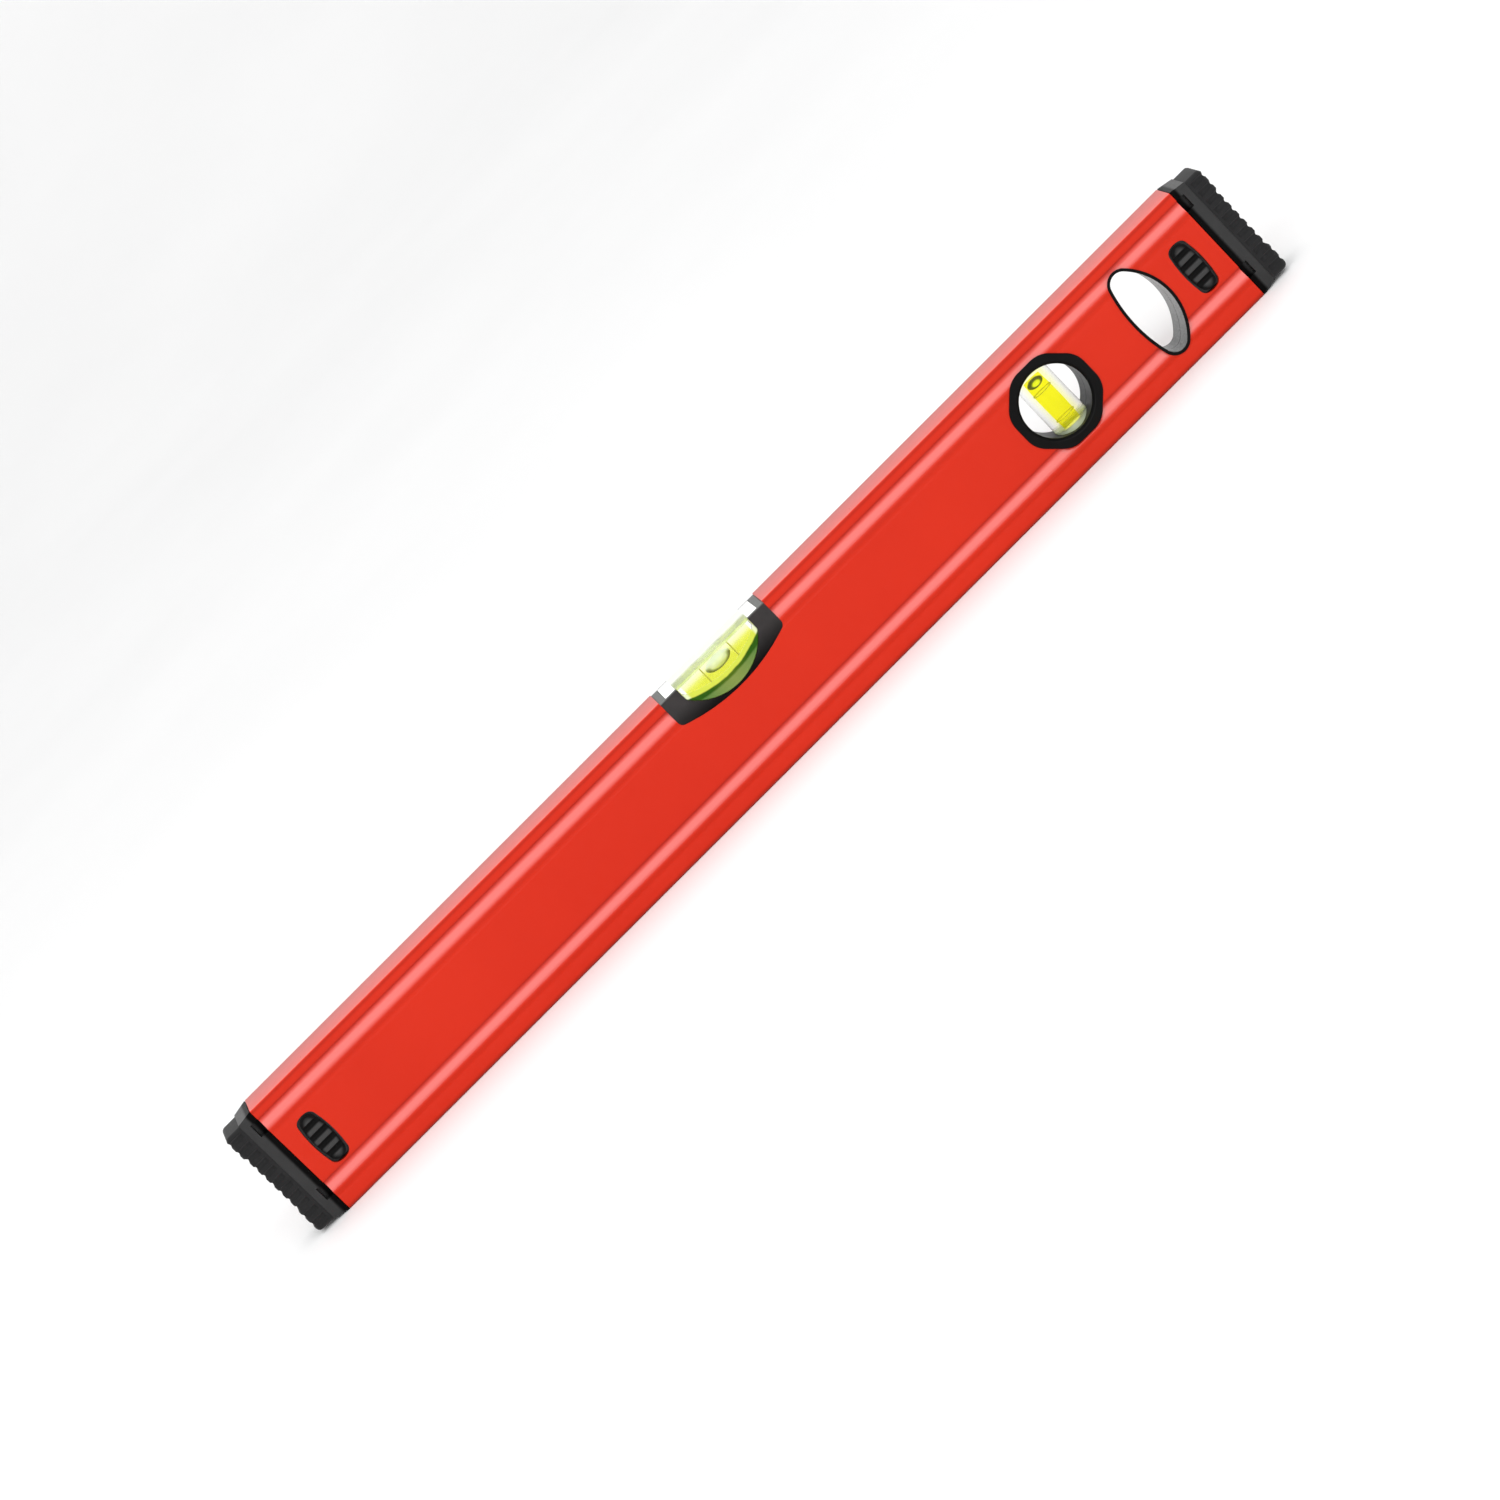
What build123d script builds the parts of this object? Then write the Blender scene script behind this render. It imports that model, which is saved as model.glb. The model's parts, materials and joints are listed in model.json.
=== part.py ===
from build123d import *
import os

os.makedirs("parts", exist_ok=True)

# Frame of the part: X along the level, Y through its thickness (front face at -Y), Z up.
# The level stands on its lower measuring face at Z = 0.  All lengths are millimetres.

# Overall size
LENGTH = 600.0
DEPTH = 25.0
HEIGHT = 62.5

# Box profile
PROFILE_HALF = 283.0
WALL = 2.0
PROFILE_CORNER = 0.9
COVE_RADIUS = 11.2
COVE_DEPTH = 1.9
COVE_TOP_Z = (17.1, 57.8)
LEDGE_SHARE = 0.5
FINE_FLUTE_RADIUS = 4.8
FINE_FLUTE_DEPTH = 0.15
FINE_FLUTE_Z = (7.5, 48.1)

# Level vial saddle and cut-out
SADDLE_HALF = 31.7
SADDLE_SHOULDER_Z = 48.2
SADDLE_LOW_Z = 42.4
SADDLE_CORNER = 3.0
VIAL_TOP_Z = 61.8

# Half-moon acrylic block
BLOCK_HALF = 21.85
BLOCK_RADIUS = 26.6
BLOCK_LOW_Z = 43.6
BLOCK_DEPTH = 24.4
EAR_HALF = 28.0
EAR_LOW_Z = 55.4
EAR_DEPTH = 23.2
BLOCK_PLAY = 0.15

# Level vial cavity
BORE_Z = 53.6
BORE_RADIUS = 5.6
BORE_END_RADIUS = 5.2
BORE_HALF = 19.8
CAVITY_LOW_Z = 48.0
CAVITY_END_Z = 52.6
MARK_X = 8.4
MARK_WIDTH = 0.5
MARK_THICK = 0.18
LEVEL_BUBBLE = (7.0, 3.6, 3.3)
LEVEL_BUBBLE_Z = 55.6

# Plumb window
PLUMB_X = 184.6
PLUMB_Z = 32.7
PLUMB_INNER_RADIUS = 16.4
PLUMB_SLEEVE_RADIUS = 19.4
PLUMB_FLANGE_APOTHEM = 21.0
PLUMB_FLANGE_CORNER = 12.0
FLANGE_THICK = 0.6
MOUTH_BEVEL = 1.2
PLUMB_BODY_RADIUS = 9.0
PLUMB_BORE_RADIUS = 3.7
PLUMB_BORE_END_RADIUS = 3.4
PLUMB_BORE_LOW_Z = 18.0
PLUMB_BORE_HIGH_Z = 45.2
PLUMB_MARK_Z = (22.9, 37.9)
PLUMB_BUBBLE = (3.1, 3.1, 2.2)
PLUMB_BUBBLE_Z = 42.7

# Hand hole: a flat arc on the inner side, a rounder arc on the outer side
HAND_X = 243.0
HAND_Z = 31.6
HAND_FLAT_REACH = 11.4
HAND_FLAT_RADIUS = 72.0
HAND_ROUND_REACH = 11.8
HAND_ROUND_RADIUS = 31.5
HAND_CORNER = 7.0
HAND_LIP = 0.5
HAND_WALL = 0.9

# End caps
COLLAR_START = 283.4
COLLAR_END = 291.0
COLLAR_NECK = (23.2, 60.0)
NOTCH_LENGTH = 4.0
NOTCH_HEIGHT = 7.0
NOTCH_DEPTH = 6.0
PLUG_START = 255.0
PLUG_GAP = 0.3
BOSS_END = 295.5
BOSS_SIZE = (14.0, 46.0)
BUMPER_SIZE = (23.6, 59.2)
BUMPER_CORNER = 2.4
BUMPER_WAIST = 0.7
BUMPER_WAIST_HALF = 17.0
RIB_PITCH = 5.08
BUMPER_RIBS = 12
RIB_LIFT = 0.8
RIB_CUT_RADIUS = 1.75
RIB_CUT_DEPTH = 0.8
RIB_START = 292.6

# Stoppers
STOPPER_X = 268.7
STOPPER_Z = 31.6
WINDOW_SIZE = (12.0, 27.0)
PAD_SIZE = (9.9, 24.4)
PAD_PROUD = 0.5
PAD_GROOVE_RADIUS = 1.6
PAD_GROOVE_DEPTH = 1.5
CARRIER_SIZE = (16.0, 26.0)
CARRIER_THICK = 2.2
CARRIER_GAP = 0.3
BARREL_SAG = 1.3

FACE_Y = DEPTH / 2
THROUGH = DEPTH + 10.0


def save(shape, name):
    """Write one node to its own file."""
    export_step(shape, f"parts/{name}.step")


def along_x(sketch, start, end):
    """Extrude a cross-section (local x = Y, local y = Z) from one X station to another."""
    return extrude(Plane.YZ.offset(start) * sketch, end - start)


def through_y(sketch, depth=THROUGH):
    """Extrude a side outline (local x = X, local y = Z) evenly about the centre plane."""
    return extrude(Plane.XZ * sketch, depth / 2, both=True)


def slab_y(sketch, start, end):
    """Extrude a side outline from one Y station to another."""
    return extrude(Plane.XZ.offset(-start) * sketch, start - end)


def mirrored_x(shape):
    """The same shape at the other end of the level."""
    return mirror(shape, about=Plane.YZ)


def coves(extra):
    """Coves in both faces: a flat ledge above, a hollow arc running out to the face below."""
    radius = COVE_RADIUS + extra
    reach = FACE_Y + COVE_RADIUS - COVE_DEPTH
    lower_half = Pos(0, extra * LEDGE_SHARE - radius) * Rectangle(2 * radius, 2 * radius)
    arc = Circle(radius) & lower_half
    return [Pos(side * reach, z) * arc for z in COVE_TOP_Z for side in (-1, 1)]


def arc_face(points, middle):
    """A closed face with straight sides and one arc from the last point back to the first."""
    edges = [Line(a, b) for a, b in zip(points, points[1:])]
    edges.append(ThreePointArc(points[-1], middle, points[0]))
    return make_face(edges)


def barrel_outline(width, height):
    """An upright oval with slightly bulging sides and ends and round corners."""
    half_w, half_h = width / 2, height / 2
    side, end = half_w - BARREL_SAG, half_h - BARREL_SAG
    edges = [
        ThreePointArc((-side, -end), (-half_w, 0), (-side, end)),
        ThreePointArc((-side, end), (0, half_h), (side, end)),
        ThreePointArc((side, end), (half_w, 0), (side, -end)),
        ThreePointArc((side, -end), (0, -half_h), (-side, -end)),
    ]
    face = make_face(edges)
    return fillet(face.vertices(), width * 0.3)


def hand_outline(inset):
    """The hand hole's outline: two arcs with rounded tips, drawn in by the inset all round."""
    flat_x = HAND_FLAT_RADIUS - HAND_FLAT_REACH
    round_x = HAND_ROUND_REACH - HAND_ROUND_RADIUS
    lens = Pos(flat_x, 0) * Circle(HAND_FLAT_RADIUS - inset)
    lens &= Pos(round_x, 0) * Circle(HAND_ROUND_RADIUS - inset)
    return Pos(HAND_X, HAND_Z) * fillet(lens.vertices(), HAND_CORNER - inset)


def ellipsoid(semi_axes, centre):
    """An ellipsoid with the given half lengths along X, Y and Z."""
    unit = Solid.make_sphere(1.0, angle1=-90, angle2=90, angle3=360)
    stretched = unit.transform_geometry(
        Matrix(
            [
                [semi_axes[0], 0, 0, centre[0]],
                [0, semi_axes[1], 0, centre[1]],
                [0, 0, semi_axes[2], centre[2]],
            ]
        )
    )
    return stretched


# ---------------------------------------------------------------- profile
outer_section = chamfer(
    (Pos(0, HEIGHT / 2) * Rectangle(DEPTH, HEIGHT)).vertices(), PROFILE_CORNER
)
fine_reach = FACE_Y + FINE_FLUTE_RADIUS - FINE_FLUTE_DEPTH
fine_circle = Circle(FINE_FLUTE_RADIUS)
fine_flutes = [Pos(side * fine_reach, z) * fine_circle for z in FINE_FLUTE_Z for side in (-1, 1)]
fluted_section = outer_section - coves(0) - fine_flutes


def inner_section(inset):
    """The inside of the box, drawn in by the inset all round; it follows the coves."""
    box = Pos(0, HEIGHT / 2) * Rectangle(DEPTH - 2 * inset, HEIGHT - 2 * inset)
    return box - coves(inset)


hollow_section = inner_section(WALL)

saddle_outline = arc_face(
    [
        (SADDLE_HALF, SADDLE_SHOULDER_Z),
        (SADDLE_HALF, HEIGHT + 5),
        (-SADDLE_HALF, HEIGHT + 5),
        (-SADDLE_HALF, SADDLE_SHOULDER_Z),
    ],
    (0, SADDLE_LOW_Z),
)
saddle_corners = [v for v in saddle_outline.vertices() if v.Y < SADDLE_SHOULDER_Z + 1]
saddle_outline = fillet(saddle_corners, SADDLE_CORNER)

hand_lip_outline = hand_outline(0)
hand_cut_outline = hand_outline(HAND_LIP)
hand_opening_outline = hand_outline(HAND_LIP + HAND_WALL)

plumb_centre = Pos(PLUMB_X, PLUMB_Z)
window_outline = barrel_outline(*WINDOW_SIZE)
pad_outline = barrel_outline(*PAD_SIZE)

profile = along_x(fluted_section - hollow_section, -PROFILE_HALF, PROFILE_HALF)
profile -= through_y(saddle_outline)
profile -= through_y(plumb_centre * Circle(PLUMB_SLEEVE_RADIUS))
profile -= through_y(hand_cut_outline)
for end in (-1, 1):
    profile -= through_y(Pos(end * STOPPER_X, STOPPER_Z) * window_outline)
save(profile, "profile")

# ---------------------------------------------------------------- level vial
lens_centre_z = BLOCK_LOW_Z + BLOCK_RADIUS
lens_circle = Pos(0, lens_centre_z) * Circle(BLOCK_RADIUS)
top_band = Pos(0, VIAL_TOP_Z - 15) * Rectangle(2 * BLOCK_HALF, 30)
lens_outline = lens_circle & top_band
ear_height = VIAL_TOP_Z - EAR_LOW_Z
ear_outline = Pos(0, EAR_LOW_Z + ear_height / 2) * Rectangle(2 * EAR_HALF, ear_height)

lens_body = through_y(lens_outline, BLOCK_DEPTH)
ear_body = through_y(ear_outline, EAR_DEPTH)

holder_top_cut = Pos(0, 0, VIAL_TOP_Z + 10) * Box(200, THROUGH, 20)
holder = through_y(saddle_outline, DEPTH)
holder -= holder_top_cut
holder -= through_y(offset(lens_outline, BLOCK_PLAY))
holder -= offset(ear_body, BLOCK_PLAY)
save(holder, "level_vial_holder")

# The bore is a barrel about the X axis, trimmed below by a shallow arc.
bore_half_section = arc_face(
    [(BORE_HALF, BORE_END_RADIUS), (BORE_HALF, 0), (-BORE_HALF, 0), (-BORE_HALF, BORE_END_RADIUS)],
    (0, BORE_RADIUS),
)
barrel = Pos(0, 0, BORE_Z) * revolve(Plane.XZ * bore_half_section, Axis.X)
above_arc = through_y(
    arc_face(
        [
            (BORE_HALF, CAVITY_END_Z),
            (BORE_HALF, HEIGHT),
            (-BORE_HALF, HEIGHT),
            (-BORE_HALF, CAVITY_END_Z),
        ],
        (0, CAVITY_LOW_Z),
    )
)
cavity = barrel & above_arc

mark_inner = BORE_RADIUS - (BORE_RADIUS - BORE_END_RADIUS) * (MARK_X / BORE_HALF) ** 2 + 0.02
mark_band = Circle(mark_inner + MARK_THICK) - Circle(mark_inner)
level_marks = []
for side in (-1, 1):
    start = side * MARK_X - MARK_WIDTH / 2
    band = along_x(Pos(0, BORE_Z) * mark_band, start, start + MARK_WIDTH)
    level_marks.append(band & above_arc)
level_rings = Compound(children=[s for band in level_marks for s in band.solids()])

level_bubble = ellipsoid(LEVEL_BUBBLE, (0, 0, LEVEL_BUBBLE_Z))
block = lens_body + ear_body - cavity
for band in level_marks:
    block -= band
save(block, "level_vial_block")
save(level_rings, "level_vial_rings")
save(cavity - level_bubble, "level_vial_fluid")
save(level_bubble, "level_bubble")

# ---------------------------------------------------------------- plumb vial
flange_outline = RegularPolygon(PLUMB_FLANGE_APOTHEM, 8, major_radius=False, rotation=22.5)
flange_outline = fillet(flange_outline.vertices(), PLUMB_FLANGE_CORNER)
ring_half = slab_y(plumb_centre * flange_outline, -FACE_Y - FLANGE_THICK, -FACE_Y)
ring_half += slab_y(plumb_centre * Circle(PLUMB_SLEEVE_RADIUS), -FACE_Y, 0)
ring_half -= through_y(plumb_centre * Circle(PLUMB_INNER_RADIUS))
mouth = Cone(PLUMB_INNER_RADIUS, PLUMB_INNER_RADIUS + MOUTH_BEVEL, MOUTH_BEVEL)
mouth_y = -FACE_Y - FLANGE_THICK + MOUTH_BEVEL / 2
ring_half -= Pos(PLUMB_X, mouth_y, PLUMB_Z) * Rot(90, 0, 0) * mouth
save(ring_half, "plumb_ring_front")
save(mirror(ring_half, about=Plane.XZ), "plumb_ring_back")

plumb_body = Pos(PLUMB_X, 0, PLUMB_Z) * Cylinder(PLUMB_BODY_RADIUS, 2 * PLUMB_INNER_RADIUS)
plumb_body &= through_y(plumb_centre * Circle(PLUMB_INNER_RADIUS))
plumb_section = arc_face(
    [
        (PLUMB_BORE_END_RADIUS, PLUMB_BORE_LOW_Z),
        (0, PLUMB_BORE_LOW_Z),
        (0, PLUMB_BORE_HIGH_Z),
        (PLUMB_BORE_END_RADIUS, PLUMB_BORE_HIGH_Z),
    ],
    (PLUMB_BORE_RADIUS, (PLUMB_BORE_LOW_Z + PLUMB_BORE_HIGH_Z) / 2),
)
plumb_cavity = Pos(PLUMB_X, 0, 0) * revolve(Plane.XZ * plumb_section, Axis.Z)
plumb_band = Circle(PLUMB_BORE_RADIUS + MARK_THICK) - Circle(PLUMB_BORE_RADIUS)
plumb_marks = []
for z in PLUMB_MARK_Z:
    plumb_marks.append(Pos(PLUMB_X, 0, z - MARK_WIDTH / 2) * extrude(plumb_band, MARK_WIDTH))
plumb_rings = Compound(children=[s for band in plumb_marks for s in band.solids()])
plumb_bubble = ellipsoid(PLUMB_BUBBLE, (PLUMB_X, 0, PLUMB_BUBBLE_Z))
plumb_body -= plumb_cavity
for band in plumb_marks:
    plumb_body -= band
save(plumb_body, "plumb_vial_body")
save(plumb_rings, "plumb_vial_rings")
save(plumb_cavity - plumb_bubble, "plumb_vial_fluid")
save(plumb_bubble, "plumb_bubble")

# ---------------------------------------------------------------- hand hole
liner = slab_y(hand_lip_outline, -FACE_Y - FLANGE_THICK, -FACE_Y)
liner += slab_y(hand_cut_outline, -FACE_Y, 0)
liner -= through_y(hand_opening_outline)
save(liner, "hand_hole_liner_front")
save(mirror(liner, about=Plane.XZ), "hand_hole_liner_back")

# ---------------------------------------------------------------- end caps
plug = along_x(inner_section(WALL + PLUG_GAP), PLUG_START, COLLAR_START)
pocket_size = [size + 2 * CARRIER_GAP for size in CARRIER_SIZE]
plug -= Pos(STOPPER_X, 0, STOPPER_Z) * Box(pocket_size[0], THROUGH, pocket_size[1])

neck_section = Pos(0, HEIGHT / 2) * Rectangle(*COLLAR_NECK)
neck_section = chamfer(neck_section.vertices(), PROFILE_CORNER)
collar_base = Plane.YZ.offset(COLLAR_START) * outer_section
collar_tip = Plane.YZ.offset(COLLAR_END) * neck_section
collar = loft([collar_base.face(), collar_tip.face()])
for z in COVE_TOP_Z:
    notch_x = COLLAR_START + NOTCH_LENGTH / 2
    notch_z = z - NOTCH_HEIGHT / 2
    for side in (-1, 1):
        notch = Pos(notch_x, side * FACE_Y, notch_z)
        collar -= notch * Box(NOTCH_LENGTH, 2 * NOTCH_DEPTH, NOTCH_HEIGHT)
for circle in fine_flutes:
    collar -= along_x(circle, COLLAR_START - 1, COLLAR_START + NOTCH_LENGTH)
boss = along_x(Pos(0, HEIGHT / 2) * Rectangle(*BOSS_SIZE), COLLAR_END, BOSS_END)
core = plug + collar + boss

bumper_length = LENGTH / 2 - COLLAR_END
bumper = Pos(COLLAR_END + bumper_length / 2, 0, HEIGHT / 2) * Box(
    bumper_length, BUMPER_SIZE[0], BUMPER_SIZE[1]
)
outer_edges = [e for e in bumper.edges() if e.center().X > COLLAR_END + 1]
bumper = fillet(outer_edges, BUMPER_CORNER)
bumper -= boss
bumper -= Pos(LENGTH / 2, 0, HEIGHT / 2) * Box(2 * BUMPER_WAIST, THROUGH, 2 * BUMPER_WAIST_HALF)
first_cut = HEIGHT / 2 + RIB_LIFT - (BUMPER_RIBS - 2) / 2 * RIB_PITCH
cut_offset = RIB_CUT_RADIUS - RIB_CUT_DEPTH
for index in range(BUMPER_RIBS - 1):
    z = first_cut + index * RIB_PITCH
    tip_x = LENGTH / 2
    if abs(z - HEIGHT / 2) < BUMPER_WAIST_HALF:
        tip_x -= BUMPER_WAIST
    end_groove = Pos(tip_x + cut_offset, 0, z) * Rot(90, 0, 0) * Cylinder(RIB_CUT_RADIUS, THROUGH)
    bumper -= end_groove
    for side in (-1, 1):
        y = side * (BUMPER_SIZE[0] / 2 + cut_offset)
        bumper -= along_x(Pos(y, z) * Circle(RIB_CUT_RADIUS), RIB_START, LENGTH / 2 + 1)

save(core, "right_cap_core")
save(bumper, "right_cap_bumper")
save(mirrored_x(core), "left_cap_core")
save(mirrored_x(bumper), "left_cap_bumper")

# ---------------------------------------------------------------- stoppers
wall_inner = FACE_Y - WALL
carrier_face = wall_inner - CARRIER_GAP
carrier_outline = fillet(Rectangle(*CARRIER_SIZE).vertices(), 1.0)
at_stopper = Pos(STOPPER_X, STOPPER_Z)
carrier = slab_y(at_stopper * carrier_outline, -carrier_face, -carrier_face + CARRIER_THICK)
pad_front = FACE_Y + PAD_PROUD
pad = slab_y(at_stopper * pad_outline, -pad_front, -carrier_face)
for index in range(4):
    z = STOPPER_Z + (index - 1.5) * RIB_PITCH
    groove_y = PAD_GROOVE_DEPTH - PAD_GROOVE_RADIUS - pad_front
    groove = along_x(
        Pos(groove_y, z) * Circle(PAD_GROOVE_RADIUS),
        STOPPER_X - PAD_SIZE[0],
        STOPPER_X + PAD_SIZE[0],
    )
    pad -= groove

for name, shape in (("carrier", carrier), ("pad", pad)):
    back = mirror(shape, about=Plane.XZ)
    save(shape, f"right_front_stopper_{name}")
    save(back, f"right_back_stopper_{name}")
    save(mirrored_x(shape), f"left_front_stopper_{name}")
    save(mirrored_x(back), f"left_back_stopper_{name}")
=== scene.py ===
import json
import math

import bmesh
import bpy
from mathutils import Matrix, Vector


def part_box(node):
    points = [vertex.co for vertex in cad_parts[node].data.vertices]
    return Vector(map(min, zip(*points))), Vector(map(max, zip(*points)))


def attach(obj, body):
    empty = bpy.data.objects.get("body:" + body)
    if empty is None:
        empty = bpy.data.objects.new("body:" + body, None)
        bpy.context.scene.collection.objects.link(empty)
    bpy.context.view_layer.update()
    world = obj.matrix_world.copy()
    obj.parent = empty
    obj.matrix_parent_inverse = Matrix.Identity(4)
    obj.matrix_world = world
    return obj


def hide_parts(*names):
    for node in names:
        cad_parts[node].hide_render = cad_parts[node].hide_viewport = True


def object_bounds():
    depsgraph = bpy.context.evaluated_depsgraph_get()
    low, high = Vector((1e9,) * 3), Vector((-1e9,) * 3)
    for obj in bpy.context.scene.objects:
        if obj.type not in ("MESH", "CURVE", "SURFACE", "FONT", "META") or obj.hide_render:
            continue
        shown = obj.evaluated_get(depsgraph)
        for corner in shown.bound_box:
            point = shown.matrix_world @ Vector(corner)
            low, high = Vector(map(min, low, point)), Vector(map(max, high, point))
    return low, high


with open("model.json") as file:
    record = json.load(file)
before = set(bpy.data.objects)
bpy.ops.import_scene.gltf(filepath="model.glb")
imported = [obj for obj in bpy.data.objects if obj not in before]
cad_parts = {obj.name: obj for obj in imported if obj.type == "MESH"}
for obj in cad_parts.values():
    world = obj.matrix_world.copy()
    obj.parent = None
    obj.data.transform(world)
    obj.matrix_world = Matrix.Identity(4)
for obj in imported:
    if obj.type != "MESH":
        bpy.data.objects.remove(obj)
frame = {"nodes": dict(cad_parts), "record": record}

cad_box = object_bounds()
NODES = frame["nodes"]
BODY_OF = {node: body for body, nodes in frame["record"]["behaviour"]["bodies"].items() for node in nodes}
MM = 0.001


# ------------------------------------------------------------------ places
def centre_and_reach(node):
    """The middle of a node's box, and half its size each way."""
    low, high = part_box(node)
    return (low + high) / 2, (high - low) / 2


PROFILE_END, PROFILE_FACE, PROFILE_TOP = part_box("profile")[1]

# the two coves lie at equal distances above and below one height; from a cove's centre line, its
# gloss and painted highlight are full up to the first distance and gone at the second, and painted shade
# darkens its edge at the third
COVE_MIDDLE = 33.5 * MM
COVE_SPREAD = 20.35 * MM
COVE_GLOSS_AND_HIGHLIGHT_ENDS = (1.0 * MM, 3.4 * MM)
COVE_EDGE = 4.1 * MM
FOOT_SHADE_TOP = 2.6 * MM

# the gap between the profile and each cap's collar, where the collar is painted black as shade
GAP_MIDDLE = PROFILE_END + 1.4 * MM
GAP_ENDS = (1.0 * MM, 2.2 * MM)

# heights between which each colour of the vial holder and of the plumb vial gives way to the next
HOLDER_SHADE = (44.5 * MM, 54.0 * MM)
HOLDER_TOP_HIGHLIGHT = (61.1 * MM, 61.6 * MM)
PLUMB_FOOT = (18.0 * MM, 20.5 * MM)
PLUMB_GLOW_REACH = (4.8 * MM, 8.2 * MM)

# the level vial block: its front is painted with refraction under three curved borders, each given as its
# height at x = 0 and how fast it rises with the square of x
BLOCK_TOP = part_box("level_vial_block")[1].z
BLOCK_FRONT_ENDS = (-12.0 * MM, -11.0 * MM)
BORE_LINE = (51.7 * MM, 12.6)
DYE_LINE = (49.7 * MM, 10.4)
CRESCENT_LINE = (48.1 * MM, 6.5)
DYE_HALF_WIDTH = 19.4 * MM
EARS_FROM = 21.85 * MM

LEVEL_BUBBLE_AT, LEVEL_BUBBLE_REACH = centre_and_reach("level_bubble")
PLUMB_BUBBLE_AT, PLUMB_BUBBLE_REACH = centre_and_reach("plumb_bubble")
PAD_AT, PAD_REACH = centre_and_reach("right_front_stopper_pad")
PAD_FACE = PAD_REACH.y - PAD_AT.y


# ------------------------------------------------------------------ meshes
def link(obj):
    bpy.context.scene.collection.objects.link(obj)
    return obj


def smooth(mesh, angle=30):
    """Smooth shading, with hard edges kept where faces meet at more than the angle."""
    mesh.shade_smooth()
    mesh.set_sharp_from_angle(angle=math.radians(angle))


def round_edges(obj, width, angle=30):
    rounding = obj.modifiers.new("edge", "BEVEL")
    rounding.width = width
    rounding.segments = 2
    rounding.limit_method = "ANGLE"
    rounding.angle_limit = math.radians(angle)
    rounding.use_clamp_overlap = True
    rounding.harden_normals = False


def loose_shells(bm):
    """The sets of vertices that hang together."""
    left = set(bm.verts)
    shells = []
    while left:
        to_visit = [left.pop()]
        shell = set(to_visit)
        while to_visit:
            vertex = to_visit.pop()
            for edge in vertex.link_edges:
                other = edge.other_vert(vertex)
                if other in left:
                    left.discard(other)
                    shell.add(other)
                    to_visit.append(other)
        shells.append(shell)
    return shells


def drop_inner_shells(bm):
    """Keeps only the shell that is longest along X, so that a sealed cavity shows no wall."""
    def length(shell):
        xs = [vertex.co.x for vertex in shell]
        return max(xs) - min(xs)

    for shell in sorted(loose_shells(bm), key=length)[:-1]:
        bmesh.ops.delete(bm, geom=list(shell), context="VERTS")


def refined(node, name, material, edge_width=0, outer_only=False):
    """A finished copy of a CAD node: flat faces merged, edges rounded, smooth shading."""
    mesh = NODES[node].data.copy()
    mesh.name = name
    bm = bmesh.new()
    bm.from_mesh(mesh)
    bmesh.ops.remove_doubles(bm, verts=bm.verts, dist=1e-6)
    if outer_only:
        drop_inner_shells(bm)
    bmesh.ops.dissolve_limit(bm, angle_limit=math.radians(0.5), verts=bm.verts, edges=bm.edges)
    bm.to_mesh(mesh)
    bm.free()
    if "custom_normal" in mesh.attributes:
        mesh.attributes.remove(mesh.attributes["custom_normal"])
    mesh.materials.clear()
    mesh.materials.append(material)
    smooth(mesh)
    obj = link(bpy.data.objects.new(name, mesh))
    if edge_width:
        round_edges(obj, edge_width)
    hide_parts(node)
    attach(obj, BODY_OF[node])
    return obj


# ------------------------------------------------------------------ shader building
def srgb(r, g, b):
    """8-bit screen colour to the linear colour that a shader wants."""
    linear = []
    for c in (r, g, b):
        c /= 255.0
        linear.append(c / 12.92 if c <= 0.04045 else ((c + 0.055) / 1.055) ** 2.4)
    return (*linear, 1.0)


def rgb(r, g, b):
    """Linear colour."""
    return (r, g, b, 1.0)


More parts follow.
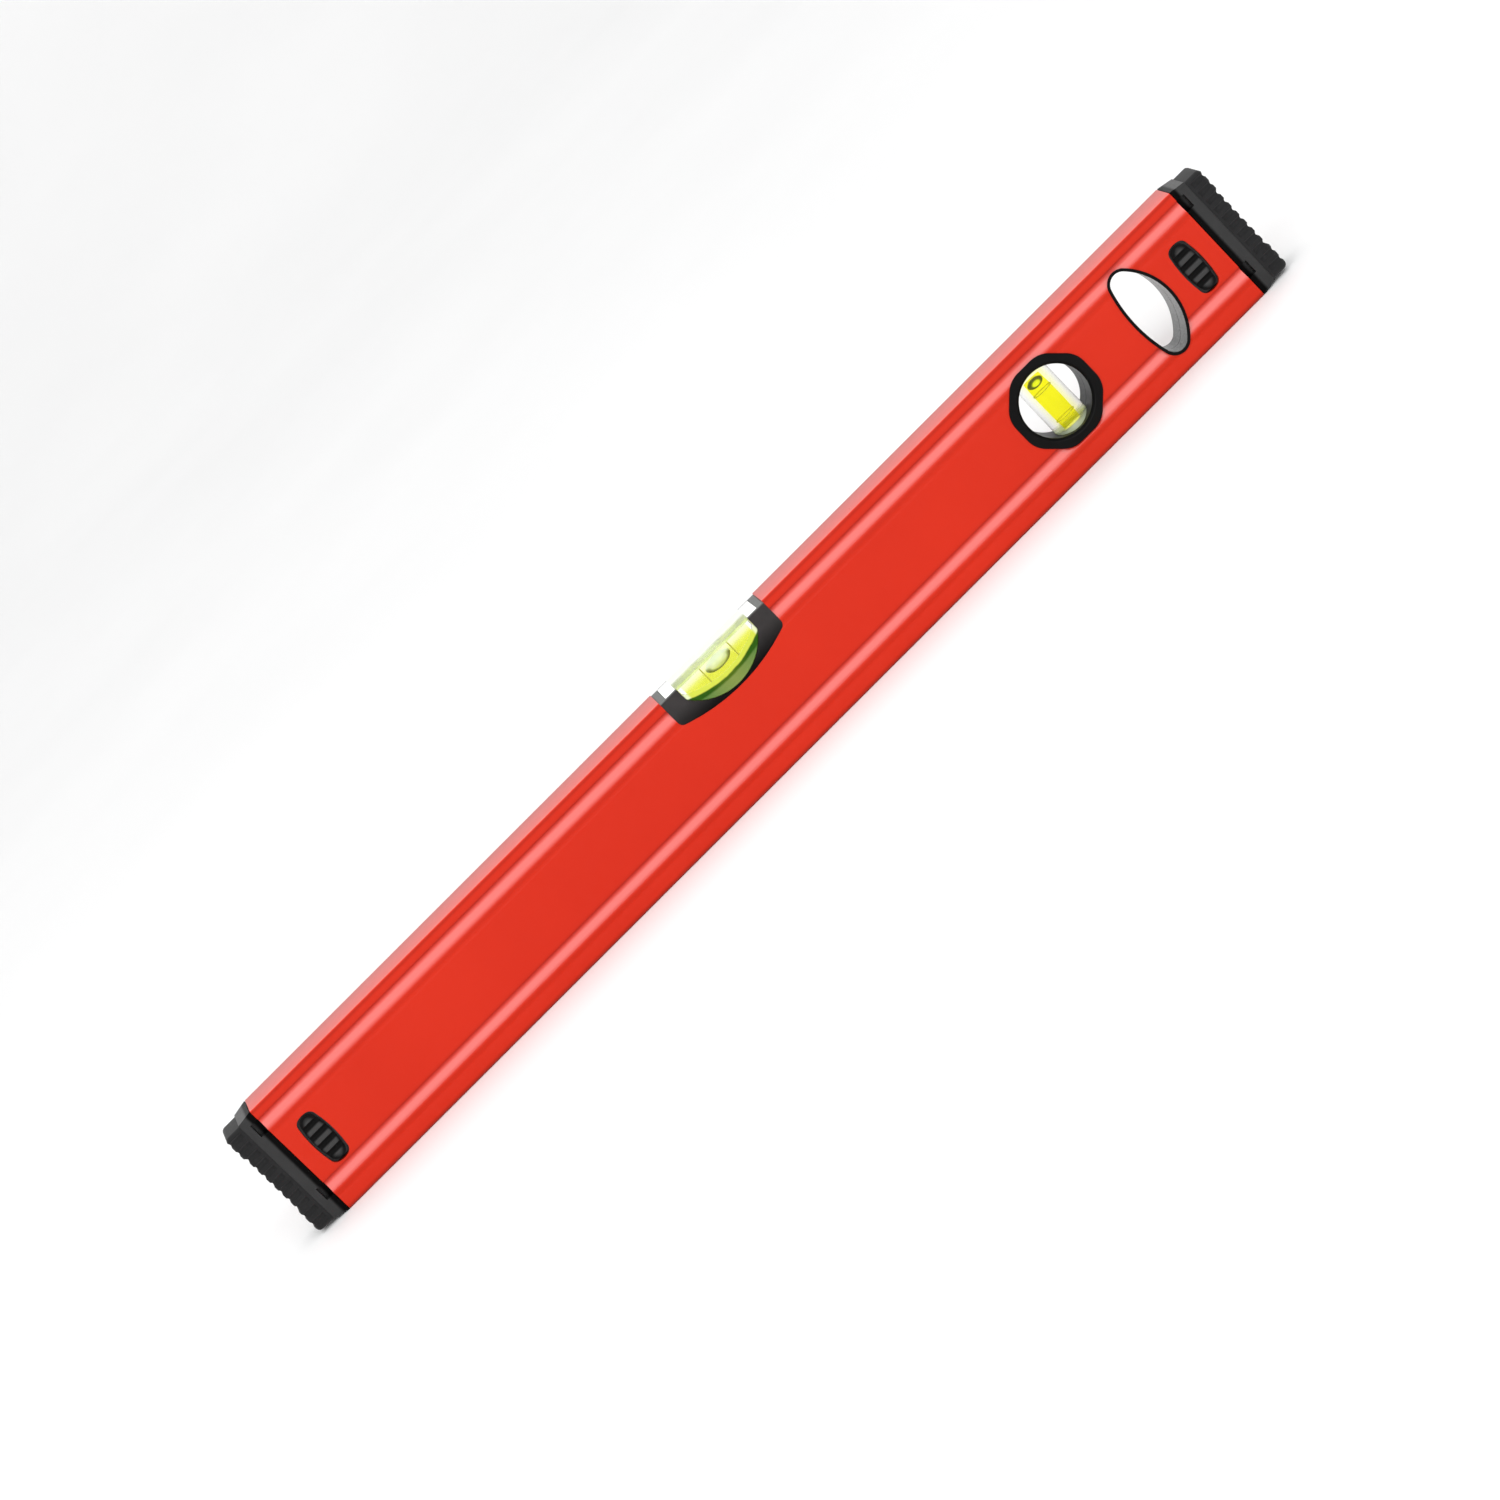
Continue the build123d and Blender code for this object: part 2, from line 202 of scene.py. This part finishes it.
class Shader:
    """A material with a Principled shader, whose coordinates are the frame's, in metres."""

    def __init__(self, name):
        self.mat = bpy.data.materials.new(name)
        self.mat.use_nodes = True
        self.nt = self.mat.node_tree
        self.nt.nodes.clear()
        self.bsdf = self.node("ShaderNodeBsdfPrincipled")
        self.coord = self.node("ShaderNodeTexCoord").outputs["Object"]
        output = self.node("ShaderNodeOutputMaterial")
        self.link(self.bsdf.outputs["BSDF"], output.inputs["Surface"])

    def node(self, kind, **properties):
        made = self.nt.nodes.new(kind)
        for key, value in properties.items():
            setattr(made, key, value)
        return made

    def link(self, a, b):
        self.nt.links.new(a, b)

    def give(self, socket, value):
        """Puts a number or colour in a socket, or links another socket to it."""
        if isinstance(value, (int, float, tuple)):
            socket.default_value = value
        else:
            self.link(value, socket)

    def set(self, **values):
        """Sets the shader's own sockets: Sheen_Weight is the socket Sheen Weight."""
        for key, value in values.items():
            self.give(self.bsdf.inputs[key.replace("_", " ")], value)
        return self

    def axes(self):
        split = self.node("ShaderNodeSeparateXYZ")
        self.link(self.coord, split.inputs["Vector"])
        return split.outputs["X"], split.outputs["Y"], split.outputs["Z"]

    def noise(self, scale, detail=3.0):
        made = self.node("ShaderNodeTexNoise")
        made.inputs["Scale"].default_value = scale
        made.inputs["Detail"].default_value = detail
        self.link(self.coord, made.inputs["Vector"])
        return made.outputs["Fac"]

    def cells(self, scale):
        made = self.node("ShaderNodeTexVoronoi")
        made.inputs["Scale"].default_value = scale
        self.link(self.coord, made.inputs["Vector"])
        return made.outputs["Distance"]

    def ramp(self, value, stops):
        """Colours by (place, colour) stops along a value."""
        made = self.node("ShaderNodeValToRGB")
        elements = made.color_ramp.elements
        while len(elements) < len(stops):
            elements.new(0.5)
        for element, (at, colour) in zip(elements, stops):
            element.position = at
            element.color = colour
        self.link(value, made.inputs["Fac"])
        return made.outputs["Color"]

    def mottled(self, dark, light, scale, detail=3.0, between=(0.3, 0.7)):
        """Blotches of two colours: dark where the noise is under the first value of between."""
        return self.ramp(self.noise(scale, detail), [(between[0], dark), (between[1], light)])

    def span(self, value, low, high, from_low=0.0, from_high=1.0):
        """Goes from low to high, and no further, while the value goes from from_low to from_high."""
        made = self.node("ShaderNodeMapRange")
        made.inputs["From Min"].default_value = from_low
        made.inputs["From Max"].default_value = from_high
        made.inputs["To Min"].default_value = low
        made.inputs["To Max"].default_value = high
        self.link(value, made.inputs["Value"])
        return made.outputs["Result"]

    def above(self, value, start, end):
        """A mask: 0 below the start, 1 above the end."""
        return self.span(value, 0.0, 1.0, start, end)

    def below(self, value, start, end):
        """A mask: 1 below the start, 0 above the end."""
        return self.span(value, 1.0, 0.0, start, end)

    def math(self, operation, *values):
        made = self.node("ShaderNodeMath", operation=operation)
        for socket, value in zip(made.inputs, values):
            self.give(socket, value)
        return made.outputs["Value"]

    def add(self, a, b):
        return self.math("ADD", a, b)

    def minus(self, a, b):
        return self.math("SUBTRACT", a, b)

    def times(self, a, b):
        return self.math("MULTIPLY", a, b)

    def absolute(self, value):
        return self.math("ABSOLUTE", value)

    def larger(self, a, b):
        return self.math("MAXIMUM", a, b)

    def smaller(self, a, b):
        return self.math("MINIMUM", a, b)

    def mix(self, factor, a, b):
        """Colour a where the factor is 0, colour b where it is 1."""
        made = self.node("ShaderNodeMix", data_type="RGBA")
        self.link(factor, made.inputs["Factor"])
        self.give(made.inputs["A"], a)
        self.give(made.inputs["B"], b)
        return made.outputs["Result"]

    def bump(self, height, distance, strength, under=None):
        made = self.node("ShaderNodeBump")
        made.inputs["Strength"].default_value = strength
        made.inputs["Distance"].default_value = distance
        self.link(height, made.inputs["Height"])
        if under:
            self.link(under, made.inputs["Normal"])
        self.link(made.outputs["Normal"], self.bsdf.inputs["Normal"])
        return made.outputs["Normal"]


# ------------------------------------------------------------------ materials
def powder_coat():
    """Red powder coat: glossier and with a painted highlight in the coves and on the top, and painted
    shade beside each cove, under the top edge and towards the foot.
    """
    dark, light, painted_highlight_red = rgb(0.47, 0.0150, 0.0028), rgb(0.50, 0.0175, 0.0036), rgb(0.78, 0.030, 0.008)
    s = Shader("red_powder_coat").set(IOR=1.35, Roughness=0.3)
    y, z = s.axes()[1:]
    from_cove = s.absolute(s.minus(s.absolute(s.minus(z, COVE_MIDDLE)), COVE_SPREAD))
    in_cove = s.below(from_cove, *COVE_GLOSS_AND_HIGHLIGHT_ENDS)
    on_top = s.above(z, PROFILE_TOP - 0.4 * MM, PROFILE_TOP - 0.1 * MM)
    near_front = s.below(y, -PROFILE_FACE, PROFILE_FACE)

    speckle = s.mottled(dark, light, 14.0, 4.0)
    # painted highlight: paler red in the coves and on the top, strongest towards the top's front edge
    red = s.mix(s.larger(s.times(in_cove, 0.35), s.times(on_top, near_front)), speckle, painted_highlight_red)

    # painted shade: darker red beside each cove, just under the top edge and towards the foot
    from_cove_edge = s.absolute(s.minus(from_cove, COVE_EDGE))
    from_top_edge = s.absolute(s.minus(z, PROFILE_TOP - 1.0 * MM))
    painted_cove_edge_shade = s.span(from_cove_edge, 0.90, 1.0, 0.0, 1.3 * MM)
    painted_top_edge_shade = s.span(from_top_edge, 0.75, 1.0, 0.0, 1.0 * MM)
    painted_foot_shade = s.span(z, 0.5, 1.0, 0.0, FOOT_SHADE_TOP)
    shaded = s.node("ShaderNodeVectorMath", operation="SCALE")
    s.link(red, shaded.inputs[0])
    s.link(s.smaller(s.smaller(painted_cove_edge_shade, painted_foot_shade), painted_top_edge_shade), shaded.inputs["Scale"])

    gloss = s.larger(s.times(in_cove, 0.88), s.times(on_top, s.span(near_front, 1.0, 0.8)))
    s.set(
        Base_Color=shaded.outputs["Vector"],
        Roughness=s.span(s.noise(420.0, 2.0), 0.26, 0.33),
        IOR=s.span(gloss, 1.25, 1.75),
    )
    orange_peel = s.bump(s.noise(700.0, 2.0), 0.02 * MM, 0.35)
    s.bump(s.noise(3800.0, 2.0), 0.006 * MM, 0.3, under=orange_peel)
    return s.mat


def spark_eroded(s, cell_scale, depth, smoothest):
    """The grain of a moulded plastic surface, and a roughness that varies with it."""
    s.set(Roughness=s.span(s.noise(600.0), smoothest, smoothest + 0.14))
    coarse = s.bump(s.cells(cell_scale), depth, 0.5)
    s.bump(s.noise(0.3 * cell_scale), depth, 0.35, under=coarse)


def ring_plastic():
    """The deep black, smooth plastic of the plumb window ring."""
    dark, light = rgb(0.00225, 0.00225, 0.0023), rgb(0.00375, 0.00375, 0.0038)
    s = Shader("ring_plastic").set(IOR=1.16)
    s.set(Base_Color=s.mottled(dark, light, 90.0, 5.0, between=(0.3, 0.75)))
    spark_eroded(s, 1900.0, 0.01 * MM, 0.30)
    return s.mat


def cap_plastic():
    """Charcoal plastic, painted black as shade in the gap next to the profile."""
    dark, light, painted_gap_shade = rgb(0.008, 0.008, 0.008), rgb(0.0135, 0.0135, 0.014), rgb(0.0010, 0.0008, 0.0008)
    s = Shader("cap_plastic").set(IOR=1.4, Roughness=0.37)
    from_gap = s.absolute(s.minus(s.absolute(s.axes()[0]), GAP_MIDDLE))
    in_gap_shade = s.below(from_gap, *GAP_ENDS)
    speckle = s.mottled(dark, light, 90.0, 5.0, between=(0.3, 0.75))
    # painted shade: black and less reflective in the gap next to the profile
    s.set(Base_Color=s.mix(in_gap_shade, speckle, painted_gap_shade), IOR=s.span(in_gap_shade, 1.42, 1.12))
    spark_eroded(s, 2600.0, 0.03 * MM, 0.30)
    return s.mat


def holder_plastic():
    """Warm black plastic, with a painted highlight along the top of the posts and painted shade darker
    towards the saddle's foot.
    """
    dark, light = rgb(0.010, 0.008, 0.008), rgb(0.020, 0.016, 0.016)
    shaded, painted_top_highlight = rgb(0.0015, 0.0010, 0.0010), rgb(0.11, 0.115, 0.11)
    s = Shader("holder_plastic").set(IOR=1.3, Roughness=0.43)
    z = s.axes()[2]
    low = s.below(z, *HOLDER_SHADE)
    at_top = s.above(z, *HOLDER_TOP_HIGHLIGHT)
    speckle = s.mottled(dark, light, 110.0, 5.0, between=(0.3, 0.75))
    # painted highlight at the top of the posts, where light from above falls; painted shade, darker and
    # less reflective, towards the saddle's foot
    s.set(
        Base_Color=s.mix(at_top, s.mix(low, speckle, shaded), painted_top_highlight),
        IOR=s.span(low, 1.38, 1.15),
    )
    spark_eroded(s, 2600.0, 0.03 * MM, 0.36)
    return s.mat


def liner_plastic():
    """Smooth black plastic that catches the light on its inner wall only."""
    dark, light = rgb(0.003, 0.003, 0.003), rgb(0.006, 0.006, 0.006)
    s = Shader("liner_plastic").set(IOR=1.3, Roughness=0.27)
    inside = s.below(s.absolute(s.axes()[1]), PROFILE_FACE - 0.6 * MM, PROFILE_FACE)
    s.set(
        Base_Color=s.mottled(dark, light, 90.0, 5.0, between=(0.3, 0.75)),
        Roughness=s.span(s.noise(500.0, 2.0), 0.24, 0.30),
        IOR=s.span(inside, 1.12, 1.5),
    )
    s.bump(s.noise(900.0, 2.0), 0.004 * MM, 0.3)
    return s.mat


def rubber_skin(s):
    """The dull, finely pitted surface of moulded rubber."""
    s.set(Roughness=s.span(s.noise(900.0), 0.62, 0.82), Sheen_Roughness=0.6)
    pitted = s.bump(s.noise(1800.0, 4.0), 0.05 * MM, 0.5)
    s.bump(s.cells(5200.0), 0.02 * MM, 0.4, under=pitted)


def bumper_rubber():
    """Near-black mottled rubber."""
    dark, light = srgb(10, 10, 11), srgb(22, 22, 23)
    s = Shader("bumper_rubber").set(IOR=1.3, Sheen_Weight=0.08)
    s.set(Base_Color=s.mottled(dark, light, 160.0, 6.0, between=(0.25, 0.8)))
    rubber_skin(s)
    return s.mat


def pad_rubber():
    """Black rubber with a painted highlight on the rib crests, though not near the pad's oval edge, and
    painted shade in the grooves.
    """
    painted_groove_shade, painted_crest_highlight = rgb(0.0006, 0.0006, 0.0006), srgb(56, 56, 56)
    s = Shader("pad_rubber").set(IOR=1.2, Sheen_Weight=0.02)
    x, y, z = s.axes()
    below_face = s.minus(PAD_FACE, s.absolute(y))
    across = s.math("DIVIDE", s.minus(s.absolute(x), PAD_AT.x), PAD_REACH.x)
    along = s.math("DIVIDE", s.minus(z, PAD_AT.z), PAD_REACH.z)
    inside_edge = s.below(s.add(s.times(across, across), s.times(along, along)), 0.62, 0.95)
    crest = s.times(s.below(below_face, 0.3 * MM, 1.1 * MM), inside_edge)
    # painted highlight on the rib crests, painted shade in the grooves
    s.set(Base_Color=s.mix(crest, painted_groove_shade, painted_crest_highlight))
    rubber_skin(s)
    return s.mat


def plumb_acrylic():
    """Clear plastic with a painted glow of the dye beside the bore on its front half, and a grey-green,
    less clear foot.
    """
    clear, painted_dye_glow, foot_grey_green = rgb(0.98, 0.99, 0.98), rgb(0.99, 0.99, 0.30), rgb(0.58, 0.66, 0.48)
    s = Shader("plumb_acrylic").set(IOR=1.3)
    x, y, z = s.axes()
    aside = s.absolute(s.minus(x, PLUMB_BUBBLE_AT.x))
    # painted glow: the dye's colour, spread by refraction, painted beside the bore on the front half
    painted_glow = s.times(s.below(aside, *PLUMB_GLOW_REACH), s.below(y, -1.0 * MM, 1.0 * MM))
    ragged_z = s.add(z, s.span(s.noise(300.0), -0.8 * MM, 0.8 * MM))
    foot = s.below(ragged_z, *PLUMB_FOOT)
    s.set(
        Base_Color=s.mix(foot, s.mix(painted_glow, clear, painted_dye_glow), foot_grey_green),
        Roughness=s.span(s.noise(260.0, 2.0), 0.0, 0.04),
        Transmission_Weight=s.span(foot, 1.0, 0.45),
    )
    return s.mat


def border(s, x, height, curve):
    """The height of a colour border at a place x across the block."""
    return s.add(s.times(s.times(x, x), curve), height)


def under_the_bore(s, aside, ragged_z, dye_line, crescent_line):
    """Painted refraction on the block's front under the bore: the dye, then the dark saddle as a dark
    crescent and a grey-green band.
    """
    dye, refracted_thin_dye = rgb(0.49, 0.55, 0.06), rgb(0.60, 0.66, 0.42)
    crescent_middle, crescent_end = rgb(0.050, 0.100, 0.003), rgb(0.014, 0.068, 0.001)
    band_middle, band_side, band_end = (
        rgb(0.16, 0.215, 0.045),
        rgb(0.12, 0.19, 0.04),
        rgb(0.05, 0.15, 0.03),
    )
    refracted_dye_colour = s.mix(s.above(aside, DYE_HALF_WIDTH, DYE_HALF_WIDTH + 1.2 * MM), dye, refracted_thin_dye)
    crescent = s.mix(s.above(aside, 2.0 * MM, 12.0 * MM), crescent_middle, crescent_end)
    band = s.ramp(
        s.above(aside, 0.0, 20.0 * MM), [(0.0, band_middle), (0.45, band_side), (0.95, band_end)]
    )
    # painted refraction: the dye bent down below the bore, then the dark saddle as crescent and band
    under_dye = s.above(s.minus(dye_line, ragged_z), -0.3 * MM, 0.3 * MM)
    under_crescent = s.above(s.minus(crescent_line, ragged_z), -0.4 * MM, 0.5 * MM)
    return s.mix(under_dye, refracted_dye_colour, s.mix(under_crescent, crescent, band))


def lens_acrylic():
    """Clear acrylic with painted refraction under the bore on its front, the dye's colour painted on the
    front of its top with a faint painted glow, and painted white glare with a painted glow on the rear of
    the top and on the ears.
    """
    clear, rear_glare_white, ear_glare_white = rgb(0.985, 0.995, 0.96), rgb(0.90, 0.95, 0.78), rgb(0.93, 0.94, 0.92)
    top_dye_dark, top_dye_light = rgb(0.42, 0.53, 0.14), rgb(0.56, 0.64, 0.25)
    front_opacity, top_opacity, rear_opacity, ear_opacity = 0.94, 0.55, 0.68, 0.85
    top_painted_glow, glare_glow = 0.10, 0.28
    s = Shader("lens_acrylic").set(IOR=1.49)
    x, y, z = s.axes()
    aside = s.absolute(x)
    ragged_z = s.add(z, s.span(s.noise(220.0), -0.3 * MM, 0.3 * MM))
    ragged_y = s.add(y, s.span(s.noise(90.0), -3.0 * MM, 3.0 * MM))
    bore_line, dye_line, crescent_line = (
        border(s, x, *line) for line in (BORE_LINE, DYE_LINE, CRESCENT_LINE)
    )

    front = s.below(y, *BLOCK_FRONT_ENDS)
    under_bore = s.times(front, s.above(s.minus(bore_line, ragged_z), -0.05 * MM, 0.05 * MM))
    on_top = s.above(z, BLOCK_TOP - 1.3 * MM, BLOCK_TOP - 1.0 * MM)
    rear = s.above(ragged_y, -3.0 * MM, 1.5 * MM)
    ears = s.above(aside, EARS_FROM, EARS_FROM + 0.6 * MM)
    # painted white glare: the rear of the top and the ears
    painted_glare = s.larger(s.times(rear, on_top), ears)

    # the dye's colour painted on the front of the top, as it shows through
    top_dye = s.mottled(top_dye_dark, top_dye_light, 160.0, 4.0, between=(0.35, 0.65))
    top = s.mix(s.times(on_top, s.span(rear, 1.0, 0.0)), clear, top_dye)
    painted_refraction = under_the_bore(s, aside, ragged_z, dye_line, crescent_line)
    colour = s.mix(painted_glare, s.mix(under_bore, top, painted_refraction), s.mix(ears, rear_glare_white, ear_glare_white))

    # opacity: how much the painted colours hide what lies behind them
    opacity = s.larger(s.times(under_bore, front_opacity), s.times(on_top, top_opacity))
    opacity = s.larger(opacity, s.times(painted_glare, s.span(ears, rear_opacity, ear_opacity)))
    # painted glow on the glare and on the top; less reflection where the refraction is painted
    s.set(
        Base_Color=colour,
        Emission_Color=colour,
        Emission_Strength=s.larger(s.times(painted_glare, glare_glow), s.times(on_top, top_painted_glow)),
        Roughness=s.span(s.noise(260.0, 2.0), 0.0, 0.05),
        Transmission_Weight=s.minus(1.0, opacity),
        Specular_IOR_Level=s.span(under_bore, 0.5, 0.06),
    )
    return s.mat


def dyed_fluid(name, deep, bright, thin, thin_above):
    """Bright yellow dye with a faint painted glow, paler where it thins out against the top of its bore.
    """
    # a faint painted glow: the emission makes the dye give off light of its own colour
    s = Shader(name).set(IOR=1.02, Roughness=0.03, Transmission_Weight=1.0, Emission_Strength=0.04)
    dye = s.mottled(deep, bright, 40.0, 2.0)
    colour = s.mix(s.above(s.axes()[2], *thin_above), dye, thin)
    s.set(Base_Color=colour, Emission_Color=colour)
    return s.mat


def bubble_air(name, at, reach, rim_from, core, outline, outline_below=None):
    """Pale air with a painted glow of the core colour in its middle, and a painted olive outline for the
    dark edge that the curved surface shows against the dye.
    """
    air_dark, air_light = srgb(226, 232, 196), srgb(240, 243, 214)
    s = Shader(name).set(Roughness=0.2)
    x, _, z = s.axes()
    across = s.math("DIVIDE", s.minus(x, at.x), reach.x)
    up = s.math("DIVIDE", s.minus(z, at.z), reach.z)
    from_centre = s.math("SQRT", s.add(s.times(across, across), s.times(up, up)))
    rim = s.above(from_centre, rim_from, rim_from + 0.25)
    if outline_below:
        rim = s.times(rim, s.below(z, *outline_below))
    # painted glow: the core colour lights the middle, fading at the rim; painted olive outline at the rim
    s.set(
        Base_Color=s.mix(rim, s.mottled(air_dark, air_light, 300.0, 2.0), outline),
        Emission_Color=s.mix(rim, core, outline),
        Emission_Strength=s.span(rim, 1.0, 0.25),
    )
    return s.mat


def mark_ink():
    """Thin printed rings, olive, with a painted glow where the dye shines through the ink."""
    dark, light = rgb(0.30, 0.29, 0.014), rgb(0.42, 0.41, 0.022)
    # painted glow: the ink gives off its own olive light
    s = Shader("mark_ink").set(Roughness=0.4, IOR=1.2, Emission_Strength=0.9)
    ink = s.mottled(dark, light, 900.0)
    s.set(Base_Color=ink, Emission_Color=ink)
    return s.mat


def floor_paper():
    """Matt, slightly uneven white paper."""
    dark, light = rgb(0.90, 0.90, 0.90), rgb(0.93, 0.93, 0.93)
    s = Shader("studio_floor").set(Roughness=0.9)
    s.set(Base_Color=s.mottled(dark, light, 3.0))
    return s.mat


RED = powder_coat()
HOLDER = holder_plastic()
RING = ring_plastic()
LINER = liner_plastic()
CAP = cap_plastic()
BUMPER = bumper_rubber()
PAD = pad_rubber()
PLUMB_CLEAR = plumb_acrylic()
LENS = lens_acrylic()
LEVEL_FLUID = dyed_fluid(
    "level_fluid_dye",
    deep=srgb(216, 220, 48),
    bright=srgb(230, 234, 60),
    thin=srgb(252, 253, 205),
    thin_above=(54.5 * MM, 57.5 * MM),
)
PLUMB_FLUID = dyed_fluid(
    "plumb_fluid_dye",
    deep=srgb(238, 232, 6),
    bright=srgb(247, 242, 14),
    thin=srgb(252, 253, 150),
    thin_above=(50.0 * MM, 52.0 * MM),
)
LEVEL_AIR = bubble_air(
    "level_bubble_air",
    LEVEL_BUBBLE_AT,
    LEVEL_BUBBLE_REACH,
    rim_from=0.58,
    core=rgb(0.40, 0.44, 0.55),
    outline=srgb(142, 148, 16),
    outline_below=(55.5 * MM, 57.0 * MM),
)
PLUMB_AIR = bubble_air(
    "plumb_bubble_air",
    PLUMB_BUBBLE_AT,
    PLUMB_BUBBLE_REACH,
    rim_from=0.45,
    core=rgb(0.35, 0.45, 0.30),
    outline=srgb(88, 104, 6),
)
INK = mark_ink()

# ------------------------------------------------------------------ pieces
refined("profile", "profile_body", RED, 0.25 * MM)
refined("level_vial_holder", "level_holder", HOLDER, 0.3 * MM)
refined("level_vial_block", "level_block", LENS, 0.25 * MM, outer_only=True)
refined("level_vial_fluid", "level_fluid", LEVEL_FLUID, outer_only=True)
refined("level_vial_rings", "level_marks", INK)
refined("level_bubble", "level_air", LEVEL_AIR)
refined("plumb_ring_front", "plumb_window_front", RING, 0.25 * MM)
refined("plumb_ring_back", "plumb_window_back", RING, 0.25 * MM)
refined("plumb_vial_body", "plumb_body", PLUMB_CLEAR, 0.2 * MM, outer_only=True)
refined("plumb_vial_fluid", "plumb_fluid", PLUMB_FLUID, outer_only=True)
refined("plumb_vial_rings", "plumb_marks", INK)
refined("plumb_bubble", "plumb_air", PLUMB_AIR)
refined("hand_hole_liner_front", "hand_liner_front", LINER, 0.25 * MM)
refined("hand_hole_liner_back", "hand_liner_back", LINER, 0.25 * MM)
for end in ("left", "right"):
    refined(f"{end}_cap_core", f"{end}_cap_collar", CAP, 0.25 * MM)
    refined(f"{end}_cap_bumper", f"{end}_bumper", BUMPER, 0.2 * MM)
    for face in ("front", "back"):
        stem = f"{end}_{face}_stopper"
        refined(f"{stem}_carrier", f"{end}_{face}_carrier", CAP, 0.2 * MM)
        refined(f"{stem}_pad", f"{end}_{face}_pad", PAD, 0.2 * MM)


# ------------------------------------------------------------------ floor and light
def backdrop(half_width=9.0, front=-6.0, bend_at=2.2, radius=2.0, height=8.0, steps=24):
    """A wide pale floor that sweeps up far behind the level."""
    outline = [(front, 0.0), (bend_at, 0.0)]
    for step in range(1, steps + 1):
        turn = math.radians(90 * step / steps)
        outline.append((bend_at + radius * math.sin(turn), radius * (1 - math.cos(turn))))
    outline.append((bend_at + radius, height))
    verts = []
    for y, z in outline:
        verts += [(-half_width, y, z), (half_width, y, z)]
    faces = [(2 * i, 2 * i + 1, 2 * i + 3, 2 * i + 2) for i in range(len(outline) - 1)]
    mesh = bpy.data.meshes.new("studio_sweep")
    mesh.from_pydata(verts, [], faces)
    mesh.update()
    mesh.materials.append(floor_paper())
    smooth(mesh, angle=60)
    link(bpy.data.objects.new("studio_sweep", mesh))


def softbox(name, where, target, size, watts):
    light = bpy.data.lights.new(name, "AREA")
    light.shape = "RECTANGLE"
    light.size, light.size_y = size
    light.energy = watts
    obj = link(bpy.data.objects.new(name, light))
    obj.location = where
    obj.rotation_euler = (Vector(target) - Vector(where)).to_track_quat("-Z", "Y").to_euler()


def even_sky(strength):
    world = bpy.data.worlds.new("studio")
    world.use_nodes = True
    background = world.node_tree.nodes["Background"]
    background.inputs["Color"].default_value = rgb(1.0, 1.0, 1.0)
    background.inputs["Strength"].default_value = strength
    bpy.context.scene.world = world


backdrop()
even_sky(0.5)
softbox("front_softbox", (0, -2.34, 1.35), target=(0, 0, 0.03), size=(4.0, 2.2), watts=83)
softbox("overhead_softbox", (0, 1.2, 4.2), target=(0, 1.2, 0), size=(7.0, 5.0), watts=95)

# ------------------------------------------------------------------ camera
# the view is from just above the level's front, near enough for the hand hole's wall to show
ELEVATION = math.radians(13.6)
AZIMUTH = math.radians(0.6)
ROLL = math.radians(44.841)
DISTANCE = 2.6
VIEW_WIDTH = 654.74 * MM
# the aim lies this far to the left of the level's centre in the picture, and this far below it
AIM_LEFT = 4.19 * MM
AIM_BELOW = 20.86 * MM
SENSOR = 36.0


def place_camera():
    """Looks down on the front face's centre, turned so that the level runs up to the right."""
    across = Vector((math.cos(AZIMUTH), -math.sin(AZIMUTH), 0))
    level_back = Vector((-math.sin(AZIMUTH), -math.cos(AZIMUTH), 0))
    back = level_back * math.cos(ELEVATION) + Vector((0, 0, math.sin(ELEVATION)))
    upright = back.cross(across)
    image_right = across * math.cos(ROLL) - upright * math.sin(ROLL)
    image_up = across * math.sin(ROLL) + upright * math.cos(ROLL)

    low, high = cad_box
    face_centre = Vector(((low.x + high.x) / 2, low.y, (low.z + high.z) / 2))
    aim = face_centre - image_right * AIM_LEFT - image_up * AIM_BELOW
    rotation = Matrix((image_right, image_up, back)).transposed()

    data = bpy.data.cameras.new("camera")
    data.sensor_width = SENSOR
    data.lens = SENSOR * DISTANCE / VIEW_WIDTH
    data.clip_start = 0.05
    data.clip_end = 60.0
    camera = link(bpy.data.objects.new("camera", data))
    camera.matrix_world = Matrix.Translation(aim + back * DISTANCE) @ rotation.to_4x4()
    bpy.context.scene.camera = camera


place_camera()
view = bpy.context.scene.view_settings
view.view_transform = "Standard"
view.look = "None"
view.exposure = 0.0
view.gamma = 1.0
